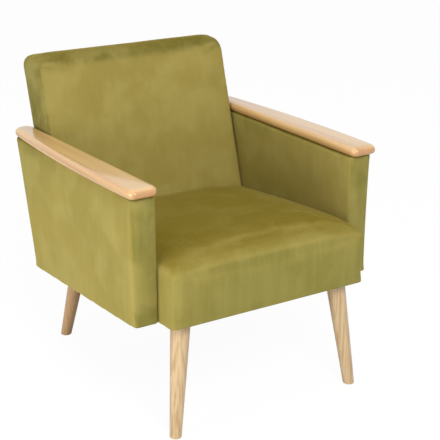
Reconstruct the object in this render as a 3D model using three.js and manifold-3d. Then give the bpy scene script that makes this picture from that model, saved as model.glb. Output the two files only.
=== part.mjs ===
// Upholstered armchair: a sprung seat and a raked back between two padded arm panels with
// wooden caps, on four splayed tapered legs. Millimetres, +Z up, the chair faces -Y and its
// lowest face stands on z = 0. Until the last lines y = 0 is the front face of the arms.

import * as THREE from 'three';
import { mergeVertices } from 'three/addons/utils/BufferGeometryUtils.js';
import Module from 'manifold-3d';

const wasm = await Module();
wasm.setup();

// Driving dimensions

// The underside is this high at the arms' front and drops towards the rear.
const underside = { height: 265, pitchDegrees: 5.4 };

// The arm panels: half width over their outer faces at the front and what the rear adds to
// it, thickness, and the side view's corners.
const arm = {
  halfFront: 311,
  rearSpread: 3,
  thicknessFront: 56.5,
  thicknessRear: 43.5,
  flareDegrees: 0.75,
  frontHeight: 559,
  topPitchDegrees: 1.86,
  bottomLength: 558,
  topLength: 633,
  cornerRadius: 8,
  topRadius: 4,
  crown: 3,
  cover: 5,
};

// The timbers inside an arm, measured along its side view.
const armFrame = { postWidth: 50, bottomRail: 62, topRail: 46, lift: 3, cornerGap: 2.2 };

// The wooden cap on each arm.
const cap = {
  thickness: 23,
  noseOverhang: 14,
  rearOverhang: 9,
  innerOverhang: 1.5,
  outerOverhang: 6,
  bow: 11,
  noseRadius: 11,
  rearRadius: 23,
  topRound: 9,
  bottomRound: 7,
  noseStretch: 1.6,
};

// The seat block, in a frame that lies in the underside and drops with it.
const seat = {
  front: 62,
  depth: 468,
  lineHeight: 129.6,
  crownHeight: 165.4,
  sideDrop: 54.2,
  rearDrop: 18.9,
  frontBulge: 4,
  sideSwell: 3,
  neck: 5,
  neckRadius: 60,
  cornerRadius: 10,
  rearRadius: 4,
  cover: 3,
};

// The seat's timber frame, cloth and springs.
const frame = {
  railWidth: 25,
  railTop: 76,
  rearRailSetback: 75,
  boardHeight: 25,
  boardWidth: 95,
  boardLength: 110,
};
const cloth = { thickness: 1, rise: 0.4, legMargin: 3 };
const spring = { count: 5, wireRadius: 1.7, swing: 24, waves: 8, bearing: 12 };
const felt = { thickness: 2.5, margin: 14 };

// The back pad, in a frame that leans back from the seat; its origin is on the pad's front
// face where it meets the seat.
const back = {
  rakeDegrees: 11.6,
  rearRakeDegrees: 1.5,
  top: 421.5,
  thickness: 90.5,
  crown: 6,
  sideGap: 0.8,
  topSpread: 2.5,
  sideRound: 14,
  topRound: 38,
  rearRound: 10,
  cornerRadius: 44,
  rearCornerRadius: 24,
  cover: 3,
  panel: 4,
};
const backFrame = {
  stileWidth: 40,
  depth: 43,
  topMargin: 8,
  topRail: 44,
  bottomRail: 45,
  topRailInset: 30,
};
const strap = { count: 3, width: 60, thickness: 1.5, lowest: 60, pitch: 105, overlap: 30 };

// The legs: centres of foot and top, measured to the side, and behind the arms' front or,
// for the rear ones, behind the seat's depth.
const leg = {
  footRadius: 13.6,
  taperDegrees: 1.94,
  footRound: 3.5,
  front: { footX: 241, footY: -43, topX: 209, topY: -15 },
  rear: { footX: 238, footY: 92, topX: 207, topY: 51 },
};
const plate = { size: 50, thickness: 2.5 };

// The fasteners.
const legBolt = { radius: 4, inLeg: 38, inBoard: 22 };
const capScrew = { radius: 2.2, headRadius: 4.5, head: 3, inCap: 14, frontPlace: 110, rearMargin: 153 };
const armBolt = {
  radius: 4,
  headRadius: 8,
  head: 4,
  inArm: 25,
  height: 40,
  frontPlace: 80,
  rearMargin: 68,
};

// Clearances between pieces: faces that touch, padding over timber, and holes round fasteners.
const gap = { face: 0.3, cover: 0.8, timber: 0.8, bore: 0.3 };

// Resolution of the curved forms, as counts of segments.
const steps = { arc: 4, seatSide: 5, panelSide: 5, capSide: 8, round: 24, bolt: 12, wireSides: 6, wave: 6 };

// How far a cutting tool runs past what it cuts.
const OVERRUN = 60;

const tangent = (degrees) => Math.tan(THREE.MathUtils.degToRad(degrees));
const lerp = THREE.MathUtils.lerp;
const clamp = THREE.MathUtils.clamp;

// Finishes

const finish = (color, roughness, metalness = 0) =>
  new THREE.MeshStandardMaterial({ color, roughness, metalness });

const finishes = {
  velvet: () => finish(0x9a8d45, 0.85),
  outsideVelvet: () => finish(0x93863f, 0.85),
  capWood: () => finish(0xdcb785, 0.35),
  legWood: () => finish(0xdcc08e, 0.45),
  timber: () => finish(0xc9a878, 0.8),
  foam: () => finish(0xe9e1c4, 0.95),
  felt: () => finish(0x8d8d88, 1),
  webbing: () => finish(0x3c3c3f, 0.9),
  cloth: () => finish(0x232325, 0.95),
  steel: () => finish(0xa7a9ac, 0.4, 1),
};

// Groups: the chair, its seat frame that drops with the underside, and the leaning back.

const chair = new THREE.Group();
const seatUnit = new THREE.Group();
seatUnit.position.z = underside.height;
seatUnit.rotation.x = -THREE.MathUtils.degToRad(underside.pitchDegrees);
const backUnit = new THREE.Group();
backUnit.position.set(0, seat.depth, seat.lineHeight);
backUnit.rotation.x = -THREE.MathUtils.degToRad(back.rakeDegrees);
seatUnit.add(backUnit);
chair.add(seatUnit);

const pieces = new Map();

function addPiece(group, name, geometry, material) {
  const mesh = new THREE.Mesh(geometry, material);
  mesh.name = name;
  group.add(mesh);
  pieces.set(name, mesh);
  return mesh;
}

// Surfaces through points

function signedVolume(points, faces) {
  return faces.reduce((sum, [a, b, c]) => {
    const cross = new THREE.Vector3().crossVectors(points[b], points[c]);
    return sum + points[a].dot(cross);
  }, 0);
}

// A closed body from points and triangles, turned to face outwards.
function bodyFrom(points, faces) {
  const outward = signedVolume(points, faces) > 0;
  const index = faces.flatMap(([a, b, c]) => (outward ? [a, b, c] : [a, c, b]));
  const geometry = new THREE.BufferGeometry().setFromPoints(points);
  geometry.setIndex(index);
  geometry.computeVertexNormals();
  return geometry;
}

// A body from a pole, through rings of equally many points, to another pole. Each
// four-sided face is split so that it bulges away from the body's middle.
function loft(firstPole, rings, lastPole) {
  const count = rings[0].length;
  const points = [firstPole, ...rings.flat(), lastPole];
  const at = (ring, i) => 1 + ring * count + (i % count);
  const last = points.length - 1;
  const middle = new THREE.Box3().setFromPoints(points).getCenter(new THREE.Vector3());
  const reach = (a, b) => points[a].clone().add(points[b]).divideScalar(2).distanceTo(middle);
  const faces = [];
  for (let i = 0; i < count; i++) {
    faces.push([0, at(0, i), at(0, i + 1)]);
    faces.push([last, at(rings.length - 1, i + 1), at(rings.length - 1, i)]);
  }
  for (let ring = 0; ring < rings.length - 1; ring++) {
    for (let i = 0; i < count; i++) {
      const [a, b] = [at(ring, i), at(ring, i + 1)];
      const [c, d] = [at(ring + 1, i), at(ring + 1, i + 1)];
      if (reach(a, d) > reach(b, c)) faces.push([a, c, d], [a, d, b]);
      else faces.push([a, c, b], [c, d, b]);
    }
  }
  return bodyFrom(points, faces);
}

const centreOf = (points) =>
  points.reduce((sum, p) => sum.add(p), new THREE.Vector3()).divideScalar(points.length);

// A body between two outlines of equally many points.
function slab(outlineA, outlineB) {
  return loft(centreOf(outlineA), [outlineA, outlineB], centreOf(outlineB));
}

// A polygon's points with rounded corners and points along its sides, in plan.
function roundedPolygon(corners, radii, sideSteps) {
  const points = [];
  const ends = corners.map((corner, i) => {
    const before = corners[(i + corners.length - 1) % corners.length];
    const after = corners[(i + 1) % corners.length];
    const toBefore = before.clone().sub(corner).normalize();
    const toAfter = after.clone().sub(corner).normalize();
    const halfAngle = Math.acos(clamp(toBefore.dot(toAfter), -1, 1)) / 2;
    const reach = radii[i] / Math.tan(halfAngle);
    const start = corner.clone().addScaledVector(toBefore, reach);
    const end = corner.clone().addScaledVector(toAfter, reach);
    const bisector = toBefore.add(toAfter).normalize();
    const centre = corner.clone().addScaledVector(bisector, radii[i] / Math.sin(halfAngle));
    return { start, end, centre, radius: radii[i] };
  });
  ends.forEach(({ start, end, centre, radius }, i) => {
    for (let j = 0; j <= steps.arc; j++) {
      const towards = start.clone().lerp(end, j / steps.arc).sub(centre).normalize();
      points.push(centre.clone().addScaledVector(towards, radius));
    }
    const next = ends[(i + 1) % ends.length].start;
    for (let j = 1; j < sideSteps[i]; j++) {
      points.push(end.clone().lerp(next, j / sideSteps[i]));
    }
  });
  return points;
}

// An upright box between two corners.
function boxBetween(low, high) {
  const size = new THREE.Vector3().subVectors(high, low);
  const middle = new THREE.Vector3().addVectors(low, high).divideScalar(2);
  return new THREE.BoxGeometry(size.x, size.y, size.z).translate(middle.x, middle.y, middle.z);
}

const vec = (x, y, z) => new THREE.Vector3(x, y, z);
const flat = (x, y) => new THREE.Vector2(x, y);

// Cutting: both pieces meet in the chair's space, and the result goes back to its own.

function worldSolid(mesh) {
  const geometry = mesh.geometry.clone();
  geometry.deleteAttribute('normal');
  geometry.deleteAttribute('uv');
  const merged = mergeVertices(geometry.applyMatrix4(mesh.matrixWorld));
  return new wasm.Manifold(
    new wasm.Mesh({
      numProp: 3,
      vertProperties: merged.attributes.position.array,
      triVerts: new Uint32Array(merged.index.array),
    }),
  );
}

function cut(name, tool) {
  const mesh = pieces.get(name);
  tool.updateMatrixWorld(true);
  mesh.updateWorldMatrix(true, false);
  const result = worldSolid(mesh).subtract(worldSolid(tool)).getMesh();
  const geometry = new THREE.BufferGeometry();
  geometry.setAttribute('position', new THREE.BufferAttribute(result.vertProperties, 3));
  geometry.setIndex(new THREE.BufferAttribute(result.triVerts, 1));
  geometry.applyMatrix4(mesh.matrixWorld.clone().invert());
  geometry.computeVertexNormals();
  mesh.geometry = geometry;
}

// The arm panels' faces

const armLength = arm.topLength;
const armHalfRear = arm.halfFront + arm.rearSpread;

function armInner(y) {
  const front = arm.halfFront - arm.thicknessFront;
  const rear = armHalfRear - arm.thicknessRear;
  return lerp(front, rear, y / armLength);
}

function armOuter(y, z) {
  const lean = (z - underside.height) * tangent(arm.flareDegrees);
  return lerp(arm.halfFront, armHalfRear, y / armLength) + lean;
}

const armBottom = (y) => underside.height - y * tangent(underside.pitchDegrees);
const armTop = (y) => arm.frontHeight - y * tangent(arm.topPitchDegrees);

// The rear edge leans back: its y at a share of the height.
const armRear = (share) => lerp(arm.bottomLength, arm.topLength, share);

// One level of an arm cover: its outline drawn in from the faces by an inset.
function armRing(side, share, inset, sink) {
  const level = (y) => lerp(armBottom(y), armTop(y), share) - sink;
  const rear = armRear(share) - inset;
  const inner = (y) => armInner(y) + inset;
  const outer = (y) => armOuter(y, level(y)) - inset;
  const corners = [
    flat(inner(inset), inset),
    flat(outer(inset), inset),
    flat(outer(rear), rear),
    flat(inner(rear), rear),
  ];
  const radius = Math.max(arm.cornerRadius - inset, arm.topRadius / 2);
  const sides = [1, steps.panelSide, 1, steps.panelSide];
  return roundedPolygon(corners, corners.map(() => radius), sides).map(({ x, y }) => {
    const across = (x - inner(y)) / (outer(y) - inner(y));
    const along = y / rear;
    const bulge = arm.crown * (1 - (2 * along - 1) ** 4) * (1 - (2 * share - 1) ** 4);
    const proud = inset > arm.topRadius ? 0 : bulge * across ** 3;
    return vec(side * (x + proud), y, level(y));
  });
}

// A padded cover, open at the underside.
function armCover(side) {
  const levelShares = [0.985, 0.88, 0.7, 0.5, 0.3, 0.12, 0];
  const outer = levelShares.map((share) => armRing(side, share, 0, 0));
  const crown = armRing(side, 1, arm.topRadius, 0);
  const ceiling = armRing(side, 1, arm.cover, arm.cover);
  const hem = armRing(side, 0, arm.cover, 0);
  const rings = [crown, ...outer, hem, ceiling];
  return loft(centreOf(crown), rings, centreOf(ceiling));
}

// A timber of an arm: a side view's corners, spread across the cavity.
function armTimber(side, corners) {
  const reach = arm.cover + gap.face;
  const inner = corners.map(([y, z]) => vec(side * (armInner(y) + reach), y, z));
  const outer = corners.map(([y, z]) => vec(side * (armOuter(y, z) - reach), y, z));
  return slab(inner, outer);
}

// The four timbers' corners in the side view, as y and z.
function armTimbers() {
  const edge = arm.cover + armFrame.cornerGap;
  const ceiling = (y) => armTop(y) - arm.cover - gap.timber;
  const floorLine = (y) => armBottom(y) + armFrame.lift;
  const inside = edge + armFrame.postWidth;
  const meet = inside + gap.face;
  const rearHeight = armTop(arm.topLength) - armBottom(arm.bottomLength);
  const rearAt = (inset, z) => {
    const share = (z - armBottom(arm.bottomLength)) / rearHeight;
    return armRear(share) - inset;
  };
  const rearPost = (inset, line) => {
    const y = rearAt(inset, line(rearAt(inset, line(arm.bottomLength))));
    return [y, line(y)];
  };
  const bottomRailTop = (y) => floorLine(y) + armFrame.bottomRail;
  const topRailBottom = (y) => ceiling(y) - armFrame.topRail;
  return {
    arm_front_post: [
      [edge, floorLine(edge)],
      [inside, floorLine(inside)],
      [inside, ceiling(inside)],
      [edge, ceiling(edge)],
    ],
    arm_rear_post: [
      rearPost(inside, floorLine),
      rearPost(edge, floorLine),
      rearPost(edge, ceiling),
      rearPost(inside, ceiling),
    ],
    arm_bottom_rail: [
      [meet, floorLine(meet)],
      rearPost(meet, floorLine),
      rearPost(meet, bottomRailTop),
      [meet, bottomRailTop(meet)],
    ],
    arm_top_rail: [
      [meet, topRailBottom(meet)],
      rearPost(meet, topRailBottom),
      rearPost(meet, ceiling),
      [meet, ceiling(meet)],
    ],
  };
}

// A cap's outline at an inset: straight inside, bowed outside, rounded at nose and rear.
function capRing(side, inset, z) {
  const nose = -cap.noseOverhang + inset * cap.noseStretch;
  const rear = arm.topLength + cap.rearOverhang - inset;
  const inner = (y) => armInner(y) - cap.innerOverhang * (1 - y / armLength) + inset;
  const outer = (y) => armOuter(y, armTop(y)) + cap.outerOverhang * (1 - y / armLength) - inset;
  const corners = [
    flat(inner(nose), nose),
    flat(outer(nose), nose),
    flat(outer(rear), rear),
    flat(inner(rear), rear),
  ];
  const nearNose = cap.noseRadius - inset / 2;
  const nearRear = cap.rearRadius - inset;
  const radii = [nearNose, nearNose, nearRear, nearRear];
  const sides = [2, steps.capSide, 1, steps.capSide];
  return roundedPolygon(corners, radii, sides).map(({ x, y }) => {
    const across = (x - inner(y)) / (outer(y) - inner(y));
    const along = (y - nose) / (rear - nose);
    const proud = cap.bow * (1 - (2 * along - 1) ** 2) * clamp(across, 0, 1);
    return vec(side * (x + proud), y, z);
  });
}

// Insets and heights that round an edge off: shares of the radius.
const ROUND_SHARES = [
  [1, 0],
  [0.45, 0.16],
  [0.12, 0.52],
  [0, 1],
];

function armCap(side) {
  const lower = ROUND_SHARES.map(([inset, rise]) =>
    capRing(side, inset * cap.bottomRound, rise * cap.bottomRound),
  );
  const upper = ROUND_SHARES.map(([inset, rise]) =>
    capRing(side, inset * cap.topRound, cap.thickness - rise * cap.topRound),
  ).reverse();
  return loft(centreOf(lower[0]), [...lower, ...upper], centreOf(upper.at(-1)));
}

function buildArm(side, prefix) {
  addPiece(chair, prefix + 'arm_cover', armCover(side), finishes.velvet());
  for (const [name, corners] of Object.entries(armTimbers())) {
    addPiece(chair, prefix + name, armTimber(side, corners), finishes.timber());
  }
  const capUnit = new THREE.Group();
  capUnit.position.z = arm.frontHeight + gap.face;
  capUnit.rotation.x = -THREE.MathUtils.degToRad(arm.topPitchDegrees);
  chair.add(capUnit);
  addPiece(capUnit, prefix + 'arm_cap', armCap(side), finishes.capWood());
}

// Heights above the seat frame's underside: the felt rests on the springs, and the back
// pad's cover starts above them.
const feltBottom = frame.railTop + gap.face + 2 * spring.wireRadius + gap.face;
const padFloor = feltBottom + gap.timber;

// The seat block: a skin that the cover, its inside and the foam all follow at offsets

// Half the block's width: it fills the space between the arms and swells in front of them.
function seatHalf(y) {
  const inFront = clamp((y + seat.neck) / (seat.neck - seat.front), 0, 1);
  return armInner(y) - gap.cover + seat.sideSwell * inFront;
}

// The seat's plan outline, drawn in by an offset.
function seatOutline(offset) {
  const front = -seat.front + offset;
  const rear = seat.depth - gap.cover - offset;
  const half = (y) => seatHalf(y) - offset;
  const neck = -seat.neck;
  const corners = [
    flat(-half(front), front),
    flat(half(front), front),
    flat(half(neck), neck),
    flat(half(rear), rear),
    flat(-half(rear), rear),
    flat(-half(neck), neck),
  ];
  const nearFront = Math.max(seat.cornerRadius - offset, seat.cover);
  const nearRear = Math.max(seat.rearRadius - offset, seat.rearRadius / 4);
  const radii = [nearFront, nearFront, seat.neckRadius, nearRear, nearRear, seat.neckRadius];
  const { seatSide } = steps;
  return roundedPolygon(corners, radii, [seatSide, 1, seatSide, seatSide, seatSide, 1]);
}

// The block's top is flat in the middle, rolls over at its sides and front, and falls slowly
// towards the back pad: powers of the share of the way out.
const DOME = { roll: 7.5, round: 2.8, rear: 2.4 };

function domeFall(share) {
  return 1 - (1 - clamp(Math.abs(share), 0, 1) ** DOME.roll) ** (1 / DOME.round);
}

function domeHeight(point) {
  const length = seat.depth + seat.front;
  const along = clamp((point.y + seat.front) / length, 0, 1);
  const across = domeFall(point.x / seatHalf(point.y));
  const forward = domeFall(Math.max(1 - 2 * along, 0));
  const left = (1 - across) * (1 - forward);
  return seat.crownHeight - seat.sideDrop * (1 - left) - seat.rearDrop * along ** DOME.rear * (1 - across);
}

// Leans a point of the block: upright in front, along the back pad behind, bulged in front.
function leanSeat(x, y, z, bulgeShare) {
  const along = clamp((y + seat.front) / (seat.depth + seat.front), 0, 1);
  const forward = z * tangent(underside.pitchDegrees) + seat.frontBulge * bulgeShare;
  const rearward = (z - seat.lineHeight) * tangent(back.rakeDegrees);
  return vec(x, y - forward * (1 - along) ** 6 + rearward * along ** 6, z);
}

// Rings of the skin at an offset, from the crown out to the edge, then down the walls.
// The top leans with the bulging front only near its edge: a power of the share of the way out.
const BULGE_ONSET = 4;
const TOP_SHARES = [0.35, 0.6, 0.78, 0.88, 0.94, 0.975, 0.994, 1];
const WALL_SHARES = [0.8, 0.5, 0.2];

function seatSkin(offset, low) {
  const outline = seatOutline(offset);
  const middle = flat(0, (seat.depth - seat.front) / 2);
  const top = TOP_SHARES.map((share) =>
    outline.map((point) => {
      const x = lerp(middle.x, point.x, share);
      const y = lerp(middle.y, point.y, share);
      return leanSeat(x, y, domeHeight(flat(x, y)) - offset, share ** BULGE_ONSET);
    }),
  );
  const wall = [...WALL_SHARES, 0].map((share) =>
    outline.map((point) => {
      const high = domeHeight(point) - offset;
      const z = lerp(low, high, share);
      return leanSeat(point.x, point.y, z, Math.sin((Math.PI / 2) * Math.sqrt(share)));
    }),
  );
  const pole = vec(middle.x, middle.y, domeHeight(middle) - offset);
  return { pole, rings: [...top, ...wall] };
}

function buildSeatCover() {
  const outer = seatSkin(0, 0);
  const inner = seatSkin(seat.cover, 0);
  const rings = [...outer.rings, ...inner.rings.reverse()];
  const geometry = loft(outer.pole, rings, inner.pole);
  addPiece(seatUnit, 'seat_cover', geometry, finishes.velvet());
  const half = seatHalf(seat.depth - seat.cornerRadius) - seat.cover - gap.timber / 2;
  const mouth = boxBetween(
    vec(-half, seat.depth / 2, -OVERRUN),
    vec(half, seat.depth + OVERRUN, padFloor),
  );
  const tool = new THREE.Mesh(mouth);
  seatUnit.add(tool);
  cut('seat_cover', tool);
  seatUnit.remove(tool);
}

const foamBottom = feltBottom + felt.thickness + gap.face;

function buildSeatFoam() {
  const { pole, rings } = seatSkin(seat.cover + gap.face, foamBottom);
  const geometry = loft(pole, rings, centreOf(rings.at(-1)));
  addPiece(seatUnit, 'seat_foam', geometry, finishes.foam());
}

// The seat frame: rails and leg boards above the leg plates

const timberBottom = cloth.rise + cloth.thickness + plate.thickness + 2 * gap.face;
const railOuter = (y) => armInner(y) - gap.cover - seat.cover - gap.timber;
const railInner = (y) => railOuter(y) - frame.railWidth;
const frontRailStart = -seat.front + seat.cover + gap.timber;
const sideRailStart = frontRailStart + frame.railWidth + gap.face;
const rearRailEnd = seat.depth + frame.rearRailSetback;
const rearRailStart = rearRailEnd - frame.railWidth;

// Pieces behind the cover's rounded front corners stay this far in from its sides.
const frontCornerGap = seat.cornerRadius / 2;

// A plank between two heights over a plan outline.
function plank(outline, bottom, top) {
  const low = outline.map(([x, y]) => vec(x, y, bottom));
  const high = outline.map(([x, y]) => vec(x, y, top));
  return slab(low, high);
}

function buildSeatFrame() {
  const rail = (name, outline, bottom, top) =>
    addPiece(seatUnit, name, plank(outline, bottom, top), finishes.timber());
  const frontHalf = railOuter(frontRailStart) - frontCornerGap;
  const frontEnd = frontRailStart + frame.railWidth;
  rail('seat_front_rail', [
    [-frontHalf, frontRailStart],
    [frontHalf, frontRailStart],
    [frontHalf, frontEnd],
    [-frontHalf, frontEnd],
  ], timberBottom, frame.railTop);
  const rearInner = (y) => railInner(y) - gap.face;
  const boardTop = timberBottom + frame.boardHeight;
  rail('seat_rear_rail', [
    [-rearInner(rearRailStart), rearRailStart],
    [rearInner(rearRailStart), rearRailStart],
    [rearInner(rearRailEnd), rearRailEnd],
    [-rearInner(rearRailEnd), rearRailEnd],
  ], boardTop + gap.face, frame.railTop);
  for (const [side, prefix] of [[-1, 'left'], [1, 'right']]) {
    rail(`seat_${prefix}_rail`, [
      [side * railInner(sideRailStart), sideRailStart],
      [side * railOuter(sideRailStart), sideRailStart],
      [side * railOuter(rearRailEnd), rearRailEnd],
      [side * railInner(rearRailEnd), rearRailEnd],
    ], timberBottom, frame.railTop);
    const frontBoardEnd = sideRailStart + frame.boardLength;
    const rearBoardStart = rearRailEnd - frame.boardLength;
    const spans = [['front', sideRailStart, frontBoardEnd], ['rear', rearBoardStart, rearRailEnd]];
    for (const [end, from, to] of spans) {
      rail(`${end}_${prefix}_leg_board`, [
        [side * (rearInner(from) - frame.boardWidth), from],
        [side * rearInner(from), from],
        [side * rearInner(to), to],
        [side * (rearInner(to) - frame.boardWidth), to],
      ], timberBottom, boardTop);
    }
  }
}

// Springs: zigzag wires from the front rail to the rear rail, and felt over them

function buildSprings() {
  const start = frontRailStart + spring.bearing;
  const end = rearRailEnd - spring.bearing;
  const height = frame.railTop + gap.face + spring.wireRadius;
  const spacing = (2 * railInner(0)) / (spring.count + 1);
  const section = new THREE.Shape();
  for (let i = 0; i < steps.wireSides; i++) {
    const angle = (i / steps.wireSides) * 2 * Math.PI;
    const x = spring.wireRadius * Math.cos(angle);
    const y = spring.wireRadius * Math.sin(angle);
    if (i) section.lineTo(x, y);
    else section.moveTo(x, y);
  }
  for (let i = 0; i < spring.count; i++) {
    const middle = (i - (spring.count - 1) / 2) * spacing;
    const count = spring.waves * steps.wave;
    const points = Array.from({ length: count + 1 }, (_, j) => {
      const swing = spring.swing * Math.sin((j / count) * spring.waves * 2 * Math.PI);
      return vec(middle + swing, lerp(start, end, j / count), height);
    });
    const path = new THREE.CatmullRomCurve3(points);
    const geometry = new THREE.ExtrudeGeometry(section, { steps: count, extrudePath: path });
    addPiece(seatUnit, `seat_spring_${i + 1}`, geometry, finishes.steel());
  }
}

function buildFelt() {
  const front = frontRailStart + felt.margin;
  const rear = seat.depth - 2 * felt.margin;
  const half = (y) => railOuter(y) - felt.margin;
  const outline = [[-half(front), front], [half(front), front], [half(rear), rear], [-half(rear), rear]];
  const geometry = plank(outline, feltBottom, feltBottom + felt.thickness);
  addPiece(seatUnit, 'spring_felt', geometry, finishes.felt());
}

// The back pad: a skin round a leaning frame

const backHalf = armInner(seat.depth) - back.sideGap;

// The height, in the leaning frame, of a line above the seat frame's underside.
function lineAbove(height, depth) {
  const lean = THREE.MathUtils.degToRad(back.rakeDegrees);
  return (height - seat.lineHeight) / Math.cos(lean) + depth * Math.tan(lean);
}

// The pad is thicker towards the bottom, because its rear face leans less.
const rearFace = (height) => back.thickness + (back.top - height) * tangent(back.rearRakeDegrees);

// One section of the pad at a depth, as x and height; its corners are rounder in front.
function backOutline(depth, sideInset, topInset, floorHeight) {
  const half = backHalf - sideInset;
  const wide = half + back.topSpread;
  const top = back.top - topInset;
  const bottom = lineAbove(floorHeight, depth);
  const corners = [flat(-half, bottom), flat(half, bottom), flat(wide, top), flat(-wide, top)];
  const share = clamp(depth / back.thickness, 0, 1);
  const full = lerp(back.cornerRadius, back.rearCornerRadius, share);
  const corner = Math.max(full - (sideInset + topInset) / 2, back.sideRound);
  const low = back.cover / 3;
  const { panelSide } = steps;
  const sides = [panelSide, panelSide, panelSide, panelSide];
  return roundedPolygon(corners, [low, low, corner, corner], sides);
}

const smooth = (share) => THREE.MathUtils.smoothstep(share, 0, 1);

// The front face swells between the seat line and the top.
function frontCrown(x, height) {
  const across = 1 - (x / backHalf) ** 2;
  const rising = smooth((height - back.topRound) / (back.top / 2 - back.topRound));
  const falling = smooth((back.top - height) / (back.top / 2));
  return back.crown * Math.max(across, 0) * rising * falling;
}

const backRounding = (radius, depth) => {
  const left = clamp(radius - depth, 0, radius);
  return radius - Math.sqrt(radius ** 2 - left ** 2);
};

// Depths of the rings behind the front face: shares of the top's rounding.
const DEPTH_SHARES = [0.01, 0.06, 0.16, 0.34, 0.6, 1];
const FACE_SHARES = [0.3, 0.6, 0.85];

function backSkin(offset, lowest) {
  const hem = lowest + offset;
  const ring = (depth) => {
    const outline = backOutline(
      depth,
      backRounding(back.sideRound, depth) + offset,
      backRounding(back.topRound, depth) + offset,
      hem,
    );
    return outline.map(({ x, y }) => vec(x, depth + offset, y));
  };
  const rings = DEPTH_SHARES.map((share) => ring(share * back.topRound));
  const edge = rings[0];
  const middle = vec(0, offset, back.top / 2);
  const onFace = (point, share) => {
    const place = middle.clone().lerp(point, share);
    place.y = offset - frontCrown(place.x, place.z);
    return place;
  };
  const face = FACE_SHARES.map((share) => edge.map((point) => onFace(point, share)));
  return { pole: onFace(middle, 1), rings: [...face, ...rings] };
}

// The rear rim of the pad's cover, in front of the outside back.
function backRim(offset, reach) {
  const depth = rearFace(lineAbove(padFloor, back.thickness));
  const outline = backOutline(depth, offset, offset, padFloor + offset);
  return outline.map(({ x, y }) => vec(x, rearFace(y) - reach, y));
}

function buildBackCover() {
  const outer = backSkin(0, padFloor);
  const inner = backSkin(back.cover, padFloor);
  const reach = back.panel + gap.face;
  const outerRims = [backRim(0, back.rearRound), backRim(back.rearRound / 4, reach)];
  const innerRim = backRim(back.cover, reach);
  const rings = [...outer.rings, ...outerRims, innerRim, ...inner.rings.reverse()];
  addPiece(backUnit, 'back_cover', loft(outer.pole, rings, inner.pole), finishes.velvet());
  const half = backHalf - back.cover;
  const mouth = boxBetween(
    vec(-half, back.cover, -seat.lineHeight),
    vec(half, back.thickness + OVERRUN, lineAbove(padFloor, back.thickness) + back.cover),
  );
  const tool = new THREE.Mesh(mouth);
  backUnit.add(tool);
  cut('back_cover', tool);
  backUnit.remove(tool);
}

const foamRear = back.cover + gap.face + back.topRound;

function buildBackFoam() {
  const { pole, rings } = backSkin(back.cover + gap.face, padFloor);
  const geometry = loft(pole, rings, centreOf(rings.at(-1)));
  addPiece(backUnit, 'back_foam', geometry, finishes.foam());
}

// The outside back: a flat upholstered panel from the top of the pad down to the underside.
function buildBackPanel() {
  const ring = (inset, reach) => {
    const depth = rearFace(lineAbove(0, back.thickness));
    const outline = backOutline(depth, inset, inset, inset + cloth.rise);
    return outline.map(({ x, y }) => vec(x, rearFace(y) - reach, y));
  };
  const front = ring(back.rearRound / 3, back.panel);
  const middle = ring(back.rearRound / 3, back.panel / 2);
  const rear = ring(back.rearRound / 2, 0);
  const geometry = loft(centreOf(front), [front, middle, rear], centreOf(rear));
  addPiece(backUnit, 'back_panel', geometry, finishes.outsideVelvet());
}

const strapFront = foamRear + gap.face;
const stileFront = strapFront + strap.thickness + gap.face;
const stileRear = stileFront + backFrame.depth;
const stileOuter = backHalf - back.cover - 2 * gap.timber;
const stileInner = stileOuter - backFrame.stileWidth;

function buildBackFrame() {
  const railTop = back.top - back.cover - backFrame.topMargin;
  const stileTop = railTop - backFrame.topRail - gap.face;
  const foot = (depth) => lineAbove(frame.railTop + gap.face, depth);
  for (const [side, prefix] of [[-1, 'left'], [1, 'right']]) {
    const corners = [
      [stileFront, foot(stileFront)],
      [stileRear, foot(stileRear)],
      [stileRear, stileTop],
      [stileFront, stileTop],
    ];
    const inner = corners.map(([y, z]) => vec(side * stileInner, y, z));
    const outer = corners.map(([y, z]) => vec(side * stileOuter, y, z));
    addPiece(backUnit, `back_${prefix}_stile`, slab(inner, outer), finishes.timber());
  }
  const topHalf = stileOuter - backFrame.topRailInset;
  const topRail = boxBetween(
    vec(-topHalf, stileFront, stileTop + gap.face),
    vec(topHalf, stileRear, railTop),
  );
  addPiece(backUnit, 'back_top_rail', topRail, finishes.timber());
  const between = stileInner - gap.face;
  const low = lineAbove(padFloor, stileRear);
  const bottomRail = boxBetween(
    vec(-between, stileFront, low),
    vec(between, stileRear, low + backFrame.bottomRail),
  );
  addPiece(backUnit, 'back_bottom_rail', bottomRail, finishes.timber());
}

// Elastic straps across the stiles, behind the foam.
function buildStraps() {
  const half = stileInner + strap.overlap;
  for (let i = 0; i < strap.count; i++) {
    const bottom = strap.lowest + i * strap.pitch;
    const geometry = boxBetween(
      vec(-half, strapFront, bottom),
      vec(half, strapFront + strap.thickness, bottom + strap.width),
    );
    addPiece(backUnit, `back_strap_${i + 1}`, geometry, finishes.webbing());
  }
}

// Turned pieces: a profile of radius and height spun round an axis, laid along a direction

function turned(profile, segments) {
  const points = profile.map(([radius, height]) => flat(radius, height));
  return new THREE.LatheGeometry(points, segments).rotateX(Math.PI / 2);
}

function lay(object, origin, direction) {
  object.position.copy(origin);
  object.quaternion.setFromUnitVectors(vec(0, 0, 1), direction.clone().normalize());
}

function boreTool(origin, direction, radius, from, to) {
  const profile = [[0, from], [radius, from], [radius, to], [0, to]];
  const tool = new THREE.Mesh(turned(profile, steps.bolt));
  lay(tool, origin, direction);
  return tool;
}

// Legs, their plates and bolts

// The chair's point on the plane at a height above the seat frame's underside.
function onUnderside(x, y, height) {
  const pitch = THREE.MathUtils.degToRad(underside.pitchDegrees);
  const lift = height / Math.cos(pitch);
  return vec(x, y, underside.height - y * Math.tan(pitch) + lift);
}

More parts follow.
